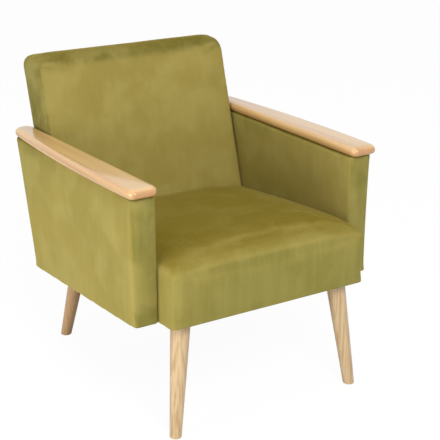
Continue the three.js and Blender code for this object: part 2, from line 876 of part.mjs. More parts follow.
function buildLeg(name, side, place, from) {
  const foot = vec(side * place.footX, from + place.footY, 0);
  const legTop = cloth.rise + cloth.thickness;
  const top = onUnderside(side * place.topX, from + place.topY, legTop);
  const axis = top.clone().sub(foot);
  const length = axis.length();
  const taper = tangent(leg.taperDegrees);
  const below = leg.footRound;
  const profile = [
    [0, -below],
    [leg.footRadius - leg.footRound, -below],
    [leg.footRadius + taper * leg.footRound, leg.footRound],
    [leg.footRadius + taper * (length + OVERRUN), length + OVERRUN],
    [0, length + OVERRUN],
  ];
  const mesh = addPiece(chair, name + '_leg', turned(profile, steps.round), finishes.legWood());
  lay(mesh, foot, axis);
  const big = 4 * OVERRUN;
  const floorBlock = boxBetween(vec(-big, -big, -big), vec(big, big, 0)).translate(foot.x, foot.y, 0);
  cut(name + '_leg', new THREE.Mesh(floorBlock));
  const body = new THREE.Mesh(boxBetween(vec(-big, -big, 0), vec(big, big, big)));
  body.position.copy(top);
  body.rotation.copy(seatUnit.rotation);
  cut(name + '_leg', body);

  const plateBottom = legTop + gap.face;
  const platePiece = plank(
    roundedPolygon(
      [[-1, -1], [1, -1], [1, 1], [-1, 1]].map(([x, y]) => flat(x * plate.size / 2, y * plate.size / 2)),
      [leg.footRound, leg.footRound, leg.footRound, leg.footRound],
      [1, 1, 1, 1],
    ).map(({ x, y }) => [x, y]),
    0,
    plate.thickness,
  );
  const plateMesh = addPiece(seatUnit, name + '_leg_plate', platePiece, finishes.steel());
  const centre = seatUnit.worldToLocal(onUnderside(top.x, top.y, plateBottom));
  plateMesh.position.copy(centre);

  const shank = [
    [0, -legBolt.inLeg],
    [legBolt.radius, -legBolt.inLeg],
    [legBolt.radius, legBolt.inBoard],
    [0, legBolt.inBoard],
  ];
  const bolt = turned(shank, steps.bolt);
  const boltMesh = addPiece(chair, name + '_leg_bolt', bolt, finishes.steel());
  lay(boltMesh, top, axis);
  const deep = legBolt.inLeg + gap.bore;
  const high = legBolt.inBoard + gap.bore;
  const bore = boreTool(top, axis, legBolt.radius + gap.bore, -deep, high);
  cut(name + '_leg', bore);
  cut(name + '_leg_plate', bore);
  cut(name + '_leg_board', bore);
  const opening = leg.footRadius + taper * length + cloth.legMargin;
  cut('dust_cloth', boreTool(top, axis, opening, -deep, deep));
}

function buildDustCloth() {
  const front = frontRailStart;
  const rear = rearRailEnd;
  const outline = [
    [frontCornerGap - railOuter(front), front],
    [railOuter(front) - frontCornerGap, front],
    [railOuter(rear), rear],
    [-railOuter(rear), rear],
  ];
  const geometry = plank(outline, cloth.rise, cloth.rise + cloth.thickness);
  addPiece(seatUnit, 'dust_cloth', geometry, finishes.cloth());
}

// Screws up through each arm's top rail into its cap

function buildCapScrew(name, side, prefix, y) {
  const middle = (armInner(y) + armOuter(y, armTop(y))) / 2;
  const under = armTop(y) - arm.cover - gap.timber - armFrame.topRail;
  const origin = vec(side * middle, y, under);
  const length = armTop(y) + capScrew.inCap - under;
  const profile = [
    [0, -capScrew.head],
    [capScrew.headRadius, -capScrew.head],
    [capScrew.headRadius, -gap.face],
    [capScrew.radius, -gap.face],
    [capScrew.radius, length],
    [0, length],
  ];
  const mesh = addPiece(chair, name, turned(profile, steps.bolt), finishes.steel());
  mesh.position.copy(origin);
  const bore = boreTool(origin, vec(0, 0, 1), capScrew.radius + gap.bore, -capScrew.head, length + gap.bore);
  cut(prefix + 'arm_top_rail', bore);
  cut(prefix + 'arm_cover', bore);
  cut(prefix + 'arm_cap', bore);
}

// Bolts from inside the seat frame through its side rail into each arm's bottom rail

function buildArmBolt(name, side, prefix, y) {
  const inside = railInner(y) - gap.face;
  const origin = seatUnit.localToWorld(vec(side * inside, y, armBolt.height));
  const outwards = vec(side, 0, 0);
  const length = armInner(y) + arm.cover + armBolt.inArm - inside;
  const profile = [
    [0, -armBolt.head],
    [armBolt.headRadius, -armBolt.head],
    [armBolt.headRadius, 0],
    [armBolt.radius, 0],
    [armBolt.radius, length],
    [0, length],
  ];
  const mesh = addPiece(chair, name, turned(profile, steps.bolt), finishes.steel());
  lay(mesh, origin, outwards);
  const bore = boreTool(origin, outwards, armBolt.radius + gap.bore, 0, length + gap.bore);
  cut(`seat_${prefix}rail`, bore);
  cut('seat_cover', bore);
  cut(prefix + 'arm_cover', bore);
  cut(prefix + 'arm_bottom_rail', bore);
}

// Assembly

chair.updateMatrixWorld(true);
buildSeatCover();
buildSeatFoam();
buildSeatFrame();
buildSprings();
buildFelt();
buildBackCover();
buildBackFoam();
buildBackPanel();
buildBackFrame();
buildStraps();
buildDustCloth();

for (const [side, prefix] of [[-1, 'left_'], [1, 'right_']]) {
  buildArm(side, prefix);
  chair.updateMatrixWorld(true);
  buildCapScrew(prefix + 'arm_cap_screw_1', side, prefix, capScrew.frontPlace);
  buildCapScrew(prefix + 'arm_cap_screw_2', side, prefix, arm.topLength - capScrew.rearMargin);
  buildArmBolt(prefix + 'arm_bolt_1', side, prefix, armBolt.frontPlace);
  buildArmBolt(prefix + 'arm_bolt_2', side, prefix, seat.depth - armBolt.rearMargin);
  buildLeg('front_' + prefix.slice(0, -1), side, leg.front, 0);
  buildLeg('rear_' + prefix.slice(0, -1), side, leg.rear, seat.depth);
}

// The origin goes to the middle of the footprint, on the floor.
chair.updateMatrixWorld(true);
const extent = new THREE.Box3().setFromObject(chair, true);
chair.position.y = -(extent.min.y + extent.max.y) / 2;

export default chair;
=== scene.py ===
"""Upholstered armchair in olive velvet with wooden arm caps and turned legs.

Metres, +Z up, the chair faces -Y and stands on z = 0.
"""

import math

import bpy
from mathutils import Matrix, Vector
from mathutils.bvhtree import BVHTree


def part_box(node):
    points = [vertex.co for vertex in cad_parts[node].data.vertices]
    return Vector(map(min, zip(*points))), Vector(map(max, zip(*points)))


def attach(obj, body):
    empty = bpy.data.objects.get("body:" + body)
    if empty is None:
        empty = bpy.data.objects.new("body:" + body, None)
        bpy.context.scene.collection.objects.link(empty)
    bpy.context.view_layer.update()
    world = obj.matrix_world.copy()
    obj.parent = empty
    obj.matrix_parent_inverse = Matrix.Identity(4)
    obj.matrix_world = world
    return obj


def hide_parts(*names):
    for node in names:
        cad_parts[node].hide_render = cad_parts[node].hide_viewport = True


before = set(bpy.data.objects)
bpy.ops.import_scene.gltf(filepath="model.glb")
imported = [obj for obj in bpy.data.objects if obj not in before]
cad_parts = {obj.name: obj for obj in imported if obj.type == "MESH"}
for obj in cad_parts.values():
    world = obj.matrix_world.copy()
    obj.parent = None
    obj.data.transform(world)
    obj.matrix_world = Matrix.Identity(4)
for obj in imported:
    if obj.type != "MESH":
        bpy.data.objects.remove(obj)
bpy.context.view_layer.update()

bl_info = {
    "name": "Upholstered Armchair",
    "version": (1, 0, 0),
    "blender": (4, 5, 0),
    "location": "View3D > Sidebar > Armchair",
    "description": "Covers, wood, filling and studio for the velvet armchair",
    "category": "Object",
}


# Where the chair's parts stand: the seat unit drops towards the rear, the back unit leans
# in it, and the caps follow the tops of the arms. Distances along the chair are measured
# back from the arms' front faces.

ARM_FRONT = -0.310428
ARM_DEPTH = 0.633
ARM_TOP = 0.559
CAP_BOTTOM = 0.5593
UNDERSIDE = 0.265
SEAT_PITCH = math.radians(5.4)
BACK_RAKE = math.radians(11.6)
CAP_PITCH = math.radians(1.86)
ARM_FLARE = math.radians(0.75)
BACK_TAPER = math.radians(1.5)

SEAT_UNIT = Matrix.Translation((0, ARM_FRONT, UNDERSIDE)) @ Matrix.Rotation(-SEAT_PITCH, 4, "X")
BACK_UNIT = (
    SEAT_UNIT @ Matrix.Translation((0, 0.468, 0.1296)) @ Matrix.Rotation(-BACK_RAKE, 4, "X")
)
CAP_UNIT = Matrix.Translation((0, ARM_FRONT, CAP_BOTTOM)) @ Matrix.Rotation(-CAP_PITCH, 4, "X")
SEAT_DOWN = SEAT_UNIT.to_3x3() @ Vector((0, 0, -1))


def mixed(low, high, share):
    """The value at a share of the way from low to high."""
    return low + (high - low) * share


def eased(share):
    """A share that starts and ends softly."""
    share = min(max(share, 0), 1)
    return share * share * (3 - 2 * share)


def arm_inner(y):
    """Half the width between the arms, at a distance behind their front faces."""
    return mixed(0.2545, 0.2705, y / ARM_DEPTH)


def arm_outer(y, z):
    """Half the width over the arms, at a distance behind their fronts and a height."""
    return mixed(0.311, 0.314, y / ARM_DEPTH) + (z - UNDERSIDE) * math.tan(ARM_FLARE)


def arm_top(y):
    """Height of the arms' tops, at a distance behind their fronts."""
    return ARM_TOP - y * math.tan(CAP_PITCH)


def arm_bottom(y):
    """Height of the arms' undersides, at a distance behind their fronts."""
    return UNDERSIDE - y * math.tan(SEAT_PITCH)


# What a user may change

LENGTH = {"subtype": "DISTANCE", "unit": "LENGTH"}
COLOUR = {"size": 3, "min": 0, "max": 1, "subtype": "COLOR"}


class ArmchairSizes(bpy.types.PropertyGroup):
    """Sizes of the covers, the caps and the legs."""

    cover_thickness: bpy.props.FloatProperty(
        name="Cover Thickness",
        description="Thickness of the velvet with its wadding",
        default=0.003,
        min=0.001,
        **LENGTH,
    )
    cover_mesh: bpy.props.FloatProperty(
        name="Cover Mesh",
        description="Size of the faces that the seat and back covers are simulated with",
        default=0.0075,
        min=0.003,
        **LENGTH,
    )
    arm_mesh: bpy.props.FloatProperty(
        name="Arm Mesh",
        description="Size of the faces that the arm covers are simulated with",
        default=0.0065,
        min=0.003,
        **LENGTH,
    )
    seat_swell: bpy.props.FloatProperty(
        name="Seat Swell",
        description="Most that the seat cover may move as it fills",
        default=0.0038,
        **LENGTH,
    )
    back_swell: bpy.props.FloatProperty(
        name="Back Swell",
        description="Most that the back cover may move as it fills",
        default=0.005,
        **LENGTH,
    )
    arm_swell: bpy.props.FloatProperty(
        name="Arm Swell",
        description="Most that an arm cover may move as it fills",
        default=0.003,
        **LENGTH,
    )
    cap_thickness: bpy.props.FloatProperty(
        name="Cap Thickness",
        description="Thickness of the wooden arm caps",
        default=0.023,
        min=0.018,
        **LENGTH,
    )
    cap_top_round: bpy.props.FloatProperty(
        name="Cap Top Rounding",
        description="Radius along the upper edge of an arm cap",
        default=0.0112,
        **LENGTH,
    )
    cap_low_round: bpy.props.FloatProperty(
        name="Cap Lower Rounding",
        description="Radius along the lower edge of an arm cap",
        default=0.0102,
        **LENGTH,
    )
    foot_radius: bpy.props.FloatProperty(
        name="Foot Radius",
        description="Radius of a leg at the floor",
        default=0.0136,
        **LENGTH,
    )
    leg_taper: bpy.props.FloatProperty(
        name="Leg Taper",
        description="Angle of a leg's side to its middle line",
        default=math.radians(1.94),
        subtype="ANGLE",
        unit="ROTATION",
    )
    foot_round: bpy.props.FloatProperty(
        name="Foot Rounding",
        description="Radius along a foot's lower edge",
        default=0.0025,
        **LENGTH,
    )


class ArmchairColours(bpy.types.PropertyGroup):
    """Colours of the velvet, the wood and the filling."""

    pile: bpy.props.FloatVectorProperty(
        name="Pile",
        description="Velvet on upright faces",
        default=(0.335, 0.264, 0.064),
        **COLOUR,
    )
    # Painted shade: the darker, browner colour of up-facing velvet, where the pile lies flat.
    laid_pile_shade: bpy.props.FloatVectorProperty(
        name="Laid Pile",
        description="Velvet on faces that look up, where the pile lies flat",
        default=(0.185, 0.132, 0.008),
        **COLOUR,
    )
    # Painted shade: the darker, greener colour of velvet that turns away from a panel.
    edge_shade_pile: bpy.props.FloatVectorProperty(
        name="Edge Pile",
        description="Velvet on the narrow faces that turn away from a panel",
        default=(0.225, 0.198, 0.044),
        **COLOUR,
    )
    raised_pile: bpy.props.FloatVectorProperty(
        name="Raised Pile",
        description="Velvet brushed against its pile",
        default=(0.40, 0.335, 0.10),
        **COLOUR,
    )
    cap_wood: bpy.props.FloatVectorProperty(
        name="Cap Wood",
        description="Lacquered wood of the arm caps",
        default=(0.71, 0.455, 0.19),
        **COLOUR,
    )
    cap_grain: bpy.props.FloatVectorProperty(
        name="Cap Grain",
        description="Darker grain lines of the arm caps",
        default=(0.50, 0.255, 0.105),
        **COLOUR,
    )
    leg_wood: bpy.props.FloatVectorProperty(
        name="Leg Wood",
        description="Lacquered wood of the front legs",
        default=(0.62, 0.45, 0.245),
        **COLOUR,
    )
    # Painted shade: the rear legs' wood is darker and browner than the front legs', as in the
    # shade under the chair.
    shaded_rear_leg_wood: bpy.props.FloatVectorProperty(
        name="Shaded Rear Leg Wood",
        description="Lacquered wood of the rear legs",
        default=(0.52, 0.31, 0.14),
        **COLOUR,
    )
    leg_grain: bpy.props.FloatVectorProperty(
        name="Leg Grain",
        description="Darker grain lines of the legs",
        default=(0.42, 0.25, 0.11),
        **COLOUR,
    )
    timber: bpy.props.FloatVectorProperty(
        name="Frame Timber",
        description="Sawn timber inside the covers",
        default=(0.55, 0.39, 0.20),
        **COLOUR,
    )
    foam: bpy.props.FloatVectorProperty(
        name="Foam",
        description="Upholstery foam",
        default=(0.80, 0.74, 0.54),
        **COLOUR,
    )
    under_cloth: bpy.props.FloatVectorProperty(
        name="Under Cloth",
        description="Thin cloth under the seat",
        default=(0.018, 0.018, 0.020),
        **COLOUR,
    )


# Making and shaping a piece


def deselect():
    """Leaves edit mode and deselects every object."""
    if bpy.context.object and bpy.context.object.mode != "OBJECT":
        done()
    bpy.ops.object.select_all(action="DESELECT")


def take_up(piece):
    """Makes a piece the only selected and active object."""
    deselect()
    piece.select_set(True)
    bpy.context.view_layer.objects.active = piece


def edit_all(piece):
    """Enters edit mode with all of a piece selected."""
    take_up(piece)
    bpy.ops.object.mode_set(mode="EDIT")
    bpy.ops.mesh.select_all(action="SELECT")


def edit_some(piece, mode, test):
    """Enters edit mode with the edges or faces selected that pass a test."""
    take_up(piece)
    bpy.ops.object.mode_set(mode="EDIT")
    bpy.ops.mesh.select_mode(type=mode)
    bpy.ops.mesh.select_all(action="DESELECT")
    done()
    chosen = 0
    for item in piece.data.edges if mode == "EDGE" else piece.data.polygons:
        item.select = bool(test(item))
        chosen += item.select
    if not chosen:
        raise RuntimeError(f"{piece.name} has nothing to shape there")
    bpy.ops.object.mode_set(mode="EDIT")


def done():
    """Goes back to object mode."""
    bpy.ops.object.mode_set(mode="OBJECT")


def named(name):
    """Names the object that was just added, and its mesh."""
    piece = bpy.context.object
    piece.name = piece.data.name = name
    return piece


def flat_grid(name, across, along):
    """A grid of one by one metre, the start of a sheet."""
    deselect()
    bpy.ops.mesh.primitive_grid_add(x_subdivisions=across, y_subdivisions=along, size=1)
    return named(name)


def settle(piece, unit=Matrix.Identity(4)):
    """Puts a piece's place and turn in its mesh, and moves it from its unit into the chair."""
    take_up(piece)
    piece.matrix_world = unit @ piece.matrix_world
    bpy.ops.object.transform_apply(location=True, rotation=True, scale=True)


def finish_with(piece, kind, **settings):
    """Adds a modifier with its settings and applies it."""
    take_up(piece)
    modifier = piece.modifiers.new(kind.title(), kind)
    for setting, value in settings.items():
        setattr(modifier, setting, value)
    bpy.ops.object.modifier_apply(modifier=modifier.name)


def rounded(piece, test, radius, segments):
    """Rounds the edges that pass a test."""
    edit_some(piece, "EDGE", test)
    bpy.ops.mesh.bevel(offset=radius, segments=segments)
    done()


def cut_off(piece, point, normal, closed=False):
    """Cuts away what lies beyond a plane, and leaves the cut open or closes it."""
    edit_all(piece)
    bpy.ops.mesh.bisect(plane_co=point, plane_no=normal, use_fill=closed, clear_outer=True)
    done()


def bored(piece, origin, direction, radius, start, end):
    """Bores a round hole along a direction, between two distances from an origin."""
    direction = Vector(direction).normalized()
    deselect()
    bpy.ops.mesh.primitive_cylinder_add(
        vertices=24,
        radius=radius,
        depth=end - start,
        location=Vector(origin) + direction * (start + end) / 2,
        rotation=direction.to_track_quat("Z", "Y").to_euler(),
    )
    drill = bpy.context.object
    finish_with(piece, "BOOLEAN", operation="DIFFERENCE", solver="EXACT", object=drill)
    bpy.data.objects.remove(drill)


def copied(piece, name):
    """A copy of a piece with its own mesh."""
    twin = bpy.data.objects.new(name, piece.data.copy())
    twin.data.name = name
    bpy.context.scene.collection.objects.link(twin)
    return twin


def mirrored(piece, name):
    """A copy of a piece on the chair's other side."""
    twin = copied(piece, name)
    twin.scale.x = -1
    settle(twin)
    edit_all(twin)
    bpy.ops.mesh.remove_doubles(threshold=1e-6)
    bpy.ops.mesh.normals_make_consistent(inside=False)
    done()
    return twin


def shaded(piece, degrees=40):
    """Shades a piece smooth, apart from the edges that are sharper than an angle."""
    take_up(piece)
    bpy.ops.object.shade_smooth_by_angle(angle=math.radians(degrees))


def belongs(piece, node, finish):
    """Dresses a piece and lets it stand for a CAD node."""
    piece.data.materials.clear()
    piece.data.materials.append(finish)
    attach(piece, "root")
    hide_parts(node)


# Node materials


def feed(tree, socket, value):
    """Gives an input socket a value, or a link if the value is another node's output."""
    if isinstance(value, bpy.types.NodeSocket):
        tree.links.new(value, socket)
    else:
        socket.default_value = value


def add_node(tree, kind, settings=None, **inputs):
    """Adds a shader node with its settings, and feeds its inputs."""
    node = tree.nodes.new(kind)
    for name, value in (settings or {}).items():
        setattr(node, name, value)
    for name, value in inputs.items():
        feed(tree, node.inputs[name.replace("_", " ")], value)
    return node


def calculated(tree, operation, *values):
    """The result of a Math node on its values."""
    node = add_node(tree, "ShaderNodeMath", {"operation": operation})
    for socket, value in zip(node.inputs, values):
        feed(tree, socket, value)
    return node.outputs[0]


def times(tree, first, second):
    """Two values multiplied."""
    return calculated(tree, "MULTIPLY", first, second)


def rest_of(tree, share):
    """What a share leaves of the whole."""
    return calculated(tree, "SUBTRACT", 1.0, share)


def spread(tree, value, low, high, to_low=0.0, to_high=1.0):
    """A value's place between low and high, eased, as a value between two others."""
    node = add_node(
        tree,
        "ShaderNodeMapRange",
        {"interpolation_type": "SMOOTHSTEP"},
        Value=value,
        From_Min=low,
        From_Max=high,
        To_Min=to_low,
        To_Max=to_high,
    )
    return node.outputs["Result"]


def blended(tree, share, first, second):
    """Two colours mixed by a share."""
    node = add_node(tree, "ShaderNodeMix", {"data_type": "RGBA"})
    for number, value in ((0, share), (6, first), (7, second)):
        feed(tree, node.inputs[number], value)
    return node.outputs[2]


def reach_along(tree, vector, direction):
    """How far a vector reaches along a direction."""
    node = add_node(tree, "ShaderNodeVectorMath", {"operation": "DOT_PRODUCT"}, Vector=vector)
    feed(tree, node.inputs[1], direction)
    return node.outputs["Value"]


def noise(tree, place, scale, detail=2.0, roughness=0.5, distortion=0.0):
    """Soft noise at a scale, read at a place."""
    node = add_node(
        tree,
        "ShaderNodeTexNoise",
        Vector=place,
        Scale=scale,
        Detail=detail,
        Roughness=roughness,
        Distortion=distortion,
    )
    return node.outputs["Fac"]


def cells_apart(tree, place, scale):
    """The distance from the middles of scattered cells."""
    node = add_node(tree, "ShaderNodeTexVoronoi", Vector=place, Scale=scale)
    return node.outputs["Distance"]


def stretched(tree, place, scale):
    """A place whose axes are scaled, so that what is read there is drawn out."""
    return add_node(tree, "ShaderNodeMapping", Vector=place, Scale=scale).outputs["Vector"]


def object_place(tree):
    """The place of a point on the object."""
    return tree.nodes.new("ShaderNodeTexCoord").outputs["Object"]


def facing(tree):
    """The direction that the surface faces."""
    return tree.nodes.new("ShaderNodeNewGeometry").outputs["Normal"]


def new_group(name, inputs):
    """A shader node group for a colour, a roughness and a height, with its inputs' sockets."""
    tree = bpy.data.node_groups.new(name, "ShaderNodeTree")
    for socket, value in inputs.items():
        kind = {4: "Color", 3: "Vector"}[len(value)] if isinstance(value, tuple) else "Float"
        made = tree.interface.new_socket(socket, in_out="INPUT", socket_type="NodeSocket" + kind)
        made.default_value = value
    for socket, kind in (("Color", "Color"), ("Roughness", "Float"), ("Height", "Float")):
        tree.interface.new_socket(socket, in_out="OUTPUT", socket_type="NodeSocket" + kind)
    return tree, tree.nodes.new("NodeGroupInput").outputs


def put_out(tree, colour, roughness, height):
    """Ends a group with what it puts out."""
    add_node(tree, "NodeGroupOutput", Color=colour, Roughness=roughness, Height=height)
    return tree


def pile_group():
    """Velvet pile: brushed patches, faint streaks and fibres, with painted shade on faces that
    look up and on faces turned from the panel, and a painted shadow along a direction.
    """
    tree, given = new_group(
        "Velvet Pile",
        {
            "Pile": (0.31, 0.255, 0.066, 1),
            "Laid Pile": (0.215, 0.158, 0.026, 1),
            "Edge Pile": (0.25, 0.222, 0.047, 1),
            "Raised Pile": (0.40, 0.335, 0.12, 1),
            "Panel": (1.0, 0.0, 0.0),
            "Drift": 0.4,
            "Rolled": 0.0,
            "Fade": (0.0, 0.0, 0.0),
            "Patch Scale": 11.0,
            "Patches": 0.4,
            "Streaks": 0.3,
        },
    )
    place = object_place(tree)
    normal = facing(tree)
    looks = add_node(tree, "ShaderNodeSeparateXYZ", Vector=normal).outputs

    # Painted shade: where the cover looks up and the pile lies flat, its colour is darker and
    # browner; less so on a front edge.
    laid_shade = spread(tree, looks["Z"], 0.35, 0.98)
    laid_shade = times(tree, laid_shade, spread(tree, looks["Y"], -0.45, 0.05, 0.5, 1.0))

    # Painted shade darkens the cover where it turns from its panel, random wide drifts darken it
    # too, and a painted shadow darkens it along a direction; it stays lighter over a rolled edge,
    # where sheen is painted.
    straight = calculated(tree, "ABSOLUTE", reach_along(tree, normal, given["Panel"]))
    turned = spread(tree, straight, 0.74, 0.999, 1.0, 0.0)
    drift = noise(tree, stretched(tree, place, (1, 1, 1.6)), 4.5, 2, 0.5, 0.3)
    drift = times(tree, spread(tree, drift, 0.35, 0.68), given["Drift"])
    turned = calculated(tree, "MAXIMUM", times(tree, turned, rest_of(tree, drift)), drift)
    # Painted shadow: the cover darkens along a direction, towards the top rear of the arms under
    # their caps.
    painted_shadow = spread(tree, reach_along(tree, place, given["Fade"]), 0.38, 0.64, 0.0, 0.8)
    turned = calculated(tree, "MAXIMUM", turned, painted_shadow)
    # Painted sheen: less of the painted shade where the cover rolls over towards the top.
    rolled = times(tree, spread(tree, looks["Z"], 0.1, 0.5, 0.0, 0.6), given["Rolled"])
    turned = times(tree, turned, rest_of(tree, rolled))

    patches = noise(tree, place, given["Patch Scale"], 3, 0.45, 0.4)
    patches = spread(tree, patches, 0.38, 0.64)
    streaks = noise(tree, stretched(tree, place, (1, 1, 0.06)), 75, 3, 0.55)
    streaks = times(tree, spread(tree, streaks, 0.4, 0.66), given["Streaks"])
    fibre = noise(tree, stretched(tree, place, (1, 1, 0.55)), 1400, 2, 0.6)

    raised = calculated(tree, "ADD", times(tree, patches, given["Patches"]), streaks)
    raised = times(tree, raised, rest_of(tree, times(tree, laid_shade, 0.55)))
    tone = blended(tree, turned, given["Pile"], given["Edge Pile"])
    tone = blended(tree, laid_shade, tone, given["Laid Pile"])
    tone = blended(tree, raised, tone, given["Raised Pile"])
    shade = spread(tree, fibre, 0.3, 0.7, 0.86, 1.1)
    tone = add_node(
        tree, "ShaderNodeVectorMath", {"operation": "SCALE"}, Vector=tone, Scale=shade
    ).outputs["Vector"]
    height = calculated(tree, "ADD", fibre, times(tree, patches, 0.6))
    return put_out(tree, tone, spread(tree, patches, 0, 1, 0.9, 0.78), height)


def grain_group():
    """Blond wood: growth bands along the piece, fine fibres, short rays and darker ends."""
    tree, given = new_group(
        "Wood Grain",
        {
            "Wood": (0.62, 0.42, 0.19, 1),
            "Grain": (0.46, 0.28, 0.10, 1),
            "Along": (1.0, 0.05, 1.0),
            "Length": (0.0, 1.0, 0.0),
            "Bands": 55.0,
            "Contrast": 0.6,
        },
    )
    place = stretched(tree, object_place(tree), given["Along"])
    bands = noise(tree, place, given["Bands"], 2.5, 0.45, 0.15)
    fibre = noise(tree, place, 420, 3, 0.65)
    rays = spread(tree, noise(tree, place, 900, 1, 0.5), 0.6, 0.72)
    end = calculated(tree, "ABSOLUTE", reach_along(tree, facing(tree), given["Length"]))

    mark = times(tree, spread(tree, bands, 0.32, 0.7), given["Contrast"])
    mark = calculated(tree, "ADD", mark, spread(tree, fibre, 0.4, 0.75, 0, 0.05))
    tone = blended(tree, mark, given["Wood"], given["Grain"])
    tone = blended(tree, times(tree, rays, 0.04), tone, given["Grain"])
    tone = blended(tree, spread(tree, end, 0.35, 0.95, 0.0, 0.9), tone, given["Grain"])
    height = calculated(tree, "ADD", fibre, rays)
    return put_out(tree, tone, spread(tree, fibre, 0.3, 0.7, 0.29, 0.31), height)


def woven_group():
    """A plain weave of warp and weft, with a little fluff."""
    tree, given = new_group(
        "Plain Weave",
        {
            "Thread": (0.05, 0.05, 0.055, 1),
            "Gap": (0.01, 0.01, 0.012, 1),
            "Threads": 500.0,
        },
    )
    place = object_place(tree)
    ridges = [
        add_node(
            tree,
            "ShaderNodeTexWave",
            {"wave_type": "BANDS", "bands_direction": direction},
            Vector=place,
            Scale=given["Threads"],
            Distortion=0.6,
            Detail=1.0,
        ).outputs["Fac"]
        for direction in ("X", "Y")
    ]
    weave = calculated(tree, "MAXIMUM", *ridges)
    fluff = noise(tree, place, 240, 3, 0.6)
    share = times(tree, weave, spread(tree, fluff, 0.25, 0.75, 0.6, 1.0))
    tone = blended(tree, share, given["Gap"], given["Thread"])
    return put_out(tree, tone, spread(tree, fluff, 0.2, 0.8, 0.8, 0.98), weave)


def foam_group():
    """Open foam: small cells over a cloudy tone."""
    tree, given = new_group(
        "Foam Cells",
        {
            "Foam": (0.80, 0.74, 0.54, 1),
            "Cell": (0.60, 0.52, 0.34, 1),
            "Cells": 900.0,
        },
    )
    place = object_place(tree)
    wall = spread(tree, cells_apart(tree, place, given["Cells"]), 0.1, 0.6)
    cloud = noise(tree, place, 14, 2, 0.5)
    share = times(tree, wall, spread(tree, cloud, 0.3, 0.7, 0.5, 0.9))
    tone = blended(tree, share, given["Cell"], given["Foam"])
    return put_out(tree, tone, spread(tree, cloud, 0.2, 0.8, 0.85, 0.98), wall)


def metal_group():
    """Plated metal: pale flakes in the plating, a little uneven in its shine."""
    tree, given = new_group(
        "Plated Metal",
        {
            "Metal": (0.62, 0.63, 0.65, 1),
            "Flake": (0.50, 0.51, 0.53, 1),
            "Flakes": 260.0,
        },
    )
    place = object_place(tree)
    share = spread(tree, cells_apart(tree, place, given["Flakes"]), 0.1, 0.8)
    smear = noise(tree, place, 90, 3, 0.6)
    tone = blended(tree, share, given["Metal"], given["Flake"])
    return put_out(tree, tone, spread(tree, smear, 0.3, 0.7, 0.28, 0.45), smear)


GROUPS = {
    "Velvet Pile": pile_group,
    "Wood Grain": grain_group,
    "Plain Weave": woven_group,
    "Foam Cells": foam_group,
    "Plated Metal": metal_group,
}


def dressed(name, group, values, bump, distance, **shader):
    """A material of one group's colour, roughness and height over a Principled shader."""
    material = bpy.data.materials.get(name)
    if material:
        return material
    material = bpy.data.materials.new(name)
    material.use_nodes = True
    tree = material.node_tree
    made_once = bpy.data.node_groups.get(group) or GROUPS[group]()
    pattern = add_node(tree, "ShaderNodeGroup", {"node_tree": made_once})
    for socket, value in values.items():
        pattern.inputs[socket].default_value = value
    made = pattern.outputs
    relief = add_node(
        tree, "ShaderNodeBump", Strength=bump, Distance=distance, Height=made["Height"]
    )
    surface = tree.nodes["Principled BSDF"].inputs
    feed(tree, surface["Base Color"], made["Color"])
    feed(tree, surface["Roughness"], made["Roughness"])
    feed(tree, surface["Normal"], relief.outputs["Normal"])
    for socket, value in shader.items():
        surface[socket.replace("_", " ")].default_value = value
    return material


def solid(colour):
    """A colour with full opacity."""
    return (*colour, 1)


def velvet(name, panel, edge=1.0, **brushing_and_shade):
    """Short-pile velvet on a cover whose broad panel faces along a direction, with the depth of
    the shade painted on its turned edges, how it is brushed and where more shade is painted."""
    colours = bpy.context.scene.armchair_colours
    return dressed(
        name,
        "Velvet Pile",
        {
            "Pile": solid(colours.pile),
            "Laid Pile": solid(colours.laid_pile_shade),
            "Edge Pile": solid(value * edge for value in colours.edge_shade_pile),
            "Raised Pile": solid(colours.raised_pile),
            "Panel": panel,
            "Streaks": 0.12,
            **brushing_and_shade,
        },
        bump=0.25,
        distance=0.0006,
        Sheen_Weight=0.35,
        Sheen_Roughness=0.35,
        Sheen_Tint=(0.85, 0.78, 0.26, 1),
        Specular_IOR_Level=0.1,
    )


def cap_wood():
    """Clear-lacquered wood of the arm caps, with its grain along them."""
    colours = bpy.context.scene.armchair_colours
    return dressed(
        "Lacquered Cap Wood",
        "Wood Grain",
        {
            "Wood": solid(colours.cap_wood),
            "Grain": solid(colours.cap_grain),
            "Along": (1, 0.02, 1),
            "Bands": 44.0,
            "Contrast": 0.85,
        },
        bump=0.003,
        distance=0.0004,
        Coat_Weight=0.65,
        Coat_Roughness=0.08,
    )


def leg_wood(end):
    """Clear-lacquered wood of the legs, with its grain upright; the rear ones are darker and
    browner, with painted shade under the chair.
    """
    colours = bpy.context.scene.armchair_colours
    wood = colours.leg_wood if end == "front" else colours.shaded_rear_leg_wood
    return dressed(
        f"Lacquered {end.title()} Leg Wood",
        "Wood Grain",
        {
            "Wood": solid(wood),
            "Grain": solid(colours.leg_grain),
            "Along": (1, 1, 0.015),
            "Length": (0, 0, 1),
            "Bands": 170.0,
            "Contrast": 0.85,
        },
        bump=0.06,
        distance=0.0004,
        Coat_Weight=0.4,
        Coat_Roughness=0.2,
    )


def sawn_timber():
    """Bare sawn timber of the frame."""
    colours = bpy.context.scene.armchair_colours
    return dressed(
        "Sawn Timber",
        "Wood Grain",
        {"Wood": solid(colours.timber), "Grain": (0.36, 0.22, 0.09, 1), "Along": (1, 0.08, 0.3)},
        bump=0.3,
        distance=0.0008,
        Specular_IOR_Level=0.2,
    )


# Covers

HEM = 0.0004  # height of the covers' lower edges over the seat unit's underside
ARM_GAP = 0.0008  # room between the seat cover and an arm
SLACK = 0.002  # how far the seat and back covers start inside their forms
MAY_SINK = 0.001  # most that a filled cover may lie below the form it starts from
FOAM_ROOM = 0.006  # room between a cover and its foam
FILLING_FRAMES = 20
AIR_PRESSURE = 4


